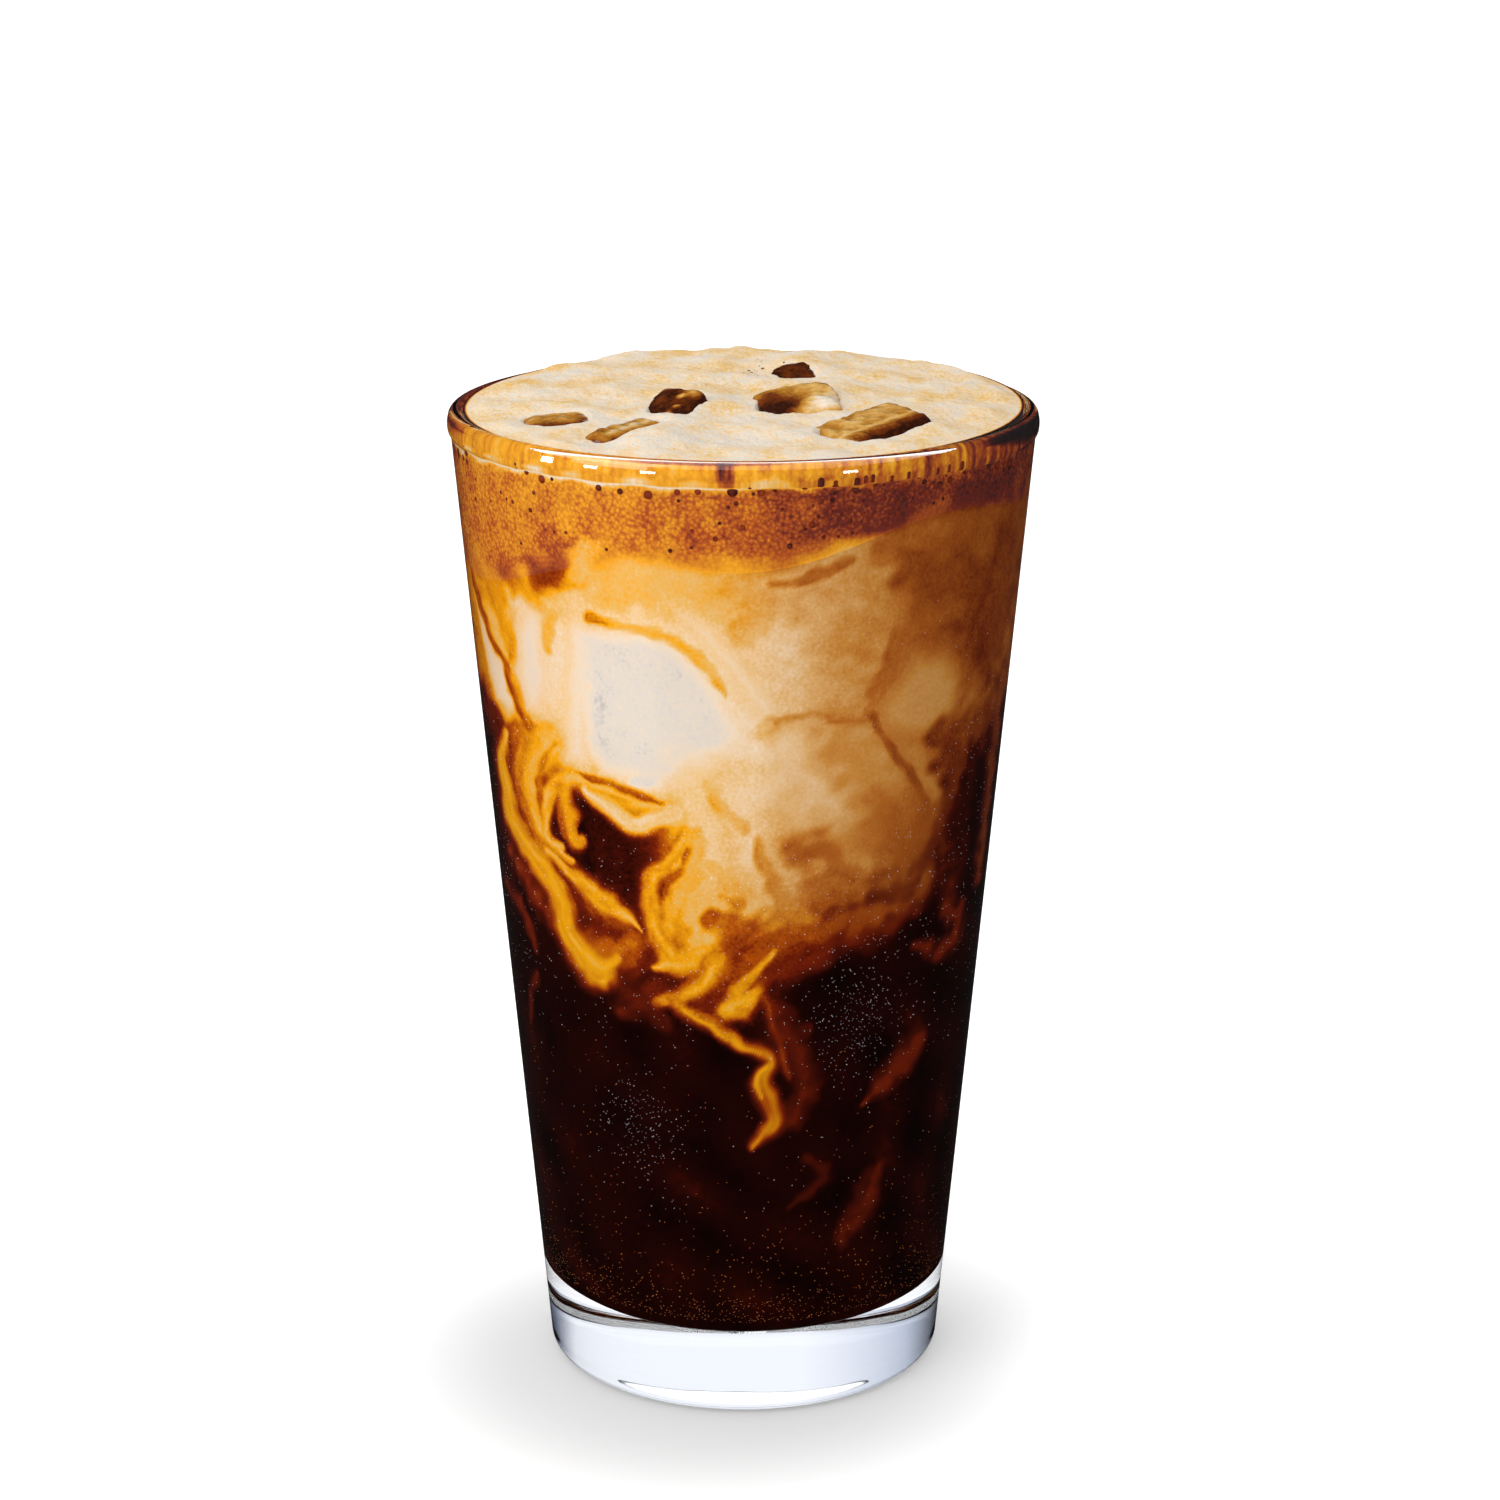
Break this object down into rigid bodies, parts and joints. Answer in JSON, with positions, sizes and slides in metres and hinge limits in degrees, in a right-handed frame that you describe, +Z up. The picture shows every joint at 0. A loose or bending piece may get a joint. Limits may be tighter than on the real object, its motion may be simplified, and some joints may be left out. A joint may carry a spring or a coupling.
{
  "type": "iced espresso drink",
  "caption": "Tapered clear pint glass filled to the rim with iced shaken espresso: dark coffee, a swirl of milk, a foam head and melting ice.",
  "frame": {"origin": "middle of the glass's foot, on the surface it stands on", "axes": "+Z up along the glass's axis; -Y is the side that faces the viewer"},
  "size_m": [0.0888, 0.0888, 0.1549],
  "materials": {
    "clear_glass": "clear, polished",
    "dark_coffee": "wet, almost black with a red-brown cast",
    "cloudy_milk": "wet, cream to amber swirls",
    "golden_foam": "fine matt bubbles, cream with golden mottles",
    "wet_ice": "wet, rounded by melting, stained brown"
  },
  "bodies": {
    "root": {"glass": "clear_glass", "coffee": "dark_coffee", "milk": "cloudy_milk", "foam": "golden_foam", "ice_flat": "wet_ice", "ice_ridge": "wet_ice", "ice_dark": "wet_ice", "ice_dome": "wet_ice", "ice_back": "wet_ice", "ice_slab": "wet_ice"}
  },
  "joints": []
}
